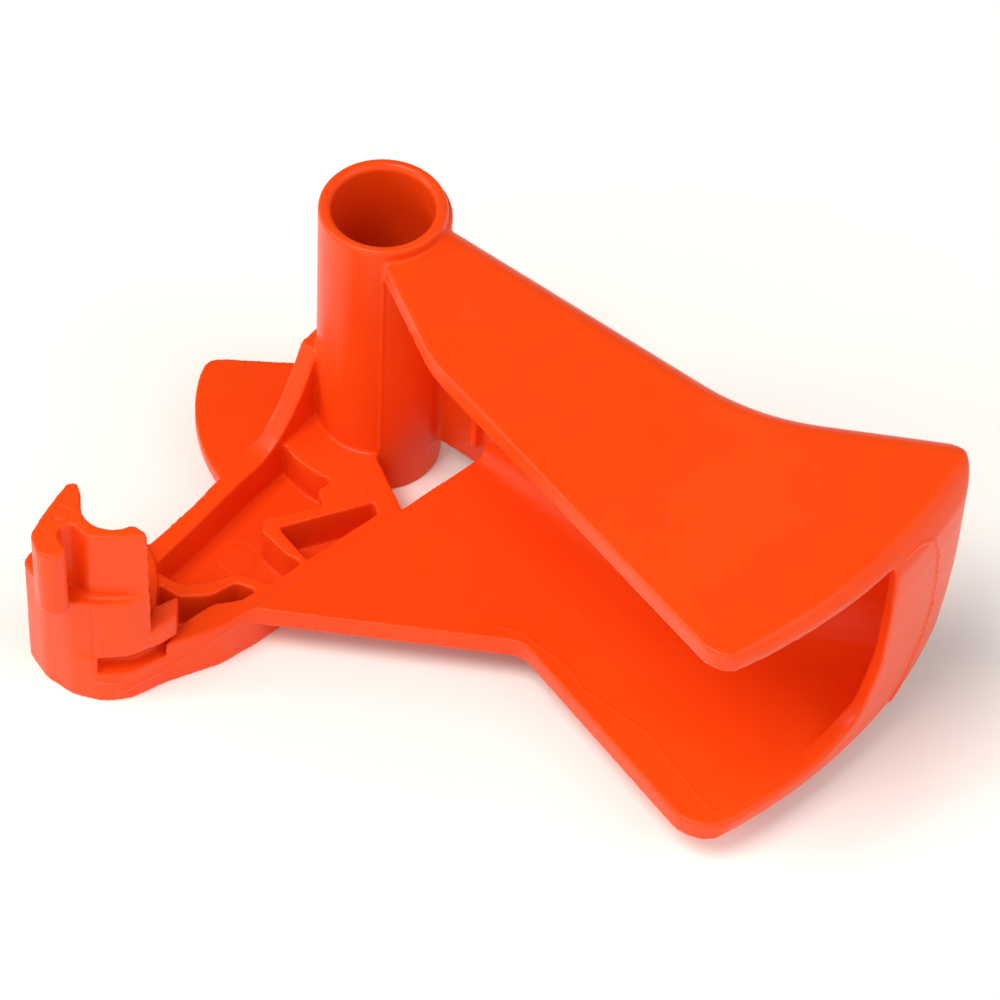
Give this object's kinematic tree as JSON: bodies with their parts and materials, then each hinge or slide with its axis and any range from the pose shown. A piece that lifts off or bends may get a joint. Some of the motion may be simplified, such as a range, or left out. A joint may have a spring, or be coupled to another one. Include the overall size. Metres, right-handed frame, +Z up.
{
  "type": "throttle trigger lever",
  "caption": "Moulded throttle trigger lever with a long pivot tube, a hollow finger grip between two flat cheeks, and a ribbed arm that ends in a hooked seat for a control cable.",
  "frame": {"origin": "centre of the pivot tube's foot, on the pivot axis", "axes": "+Z up the pivot tube, +X towards the far end of the finger grip, +Y towards the finger pad"},
  "size_m": [0.0763, 0.0497, 0.0306],
  "materials": {
    "orange_plastic": "satin orange injection-moulded nylon, slightly translucent"
  },
  "bodies": {
    "root": {"pivot_tube": "orange_plastic", "tube_root": "orange_plastic", "upper_cheek": "orange_plastic", "lower_cheek": "orange_plastic", "pad_neck": "orange_plastic", "pad_curve": "orange_plastic", "finger_pad": "orange_plastic", "end_wall": "orange_plastic", "web_panel": "orange_plastic", "web_post": "orange_plastic", "tube_platform": "orange_plastic", "arm_floor": "orange_plastic", "outer_wall": "orange_plastic", "joint_rib": "orange_plastic", "corner_rib": "orange_plastic", "wave_rib": "orange_plastic", "front_rim": "orange_plastic", "gusset": "orange_plastic", "stop_fin": "orange_plastic", "clip_block": "orange_plastic", "clip_foot": "orange_plastic", "step_tab": "orange_plastic", "cable_hook": "orange_plastic", "hook_post": "orange_plastic"}
  },
  "joints": []
}
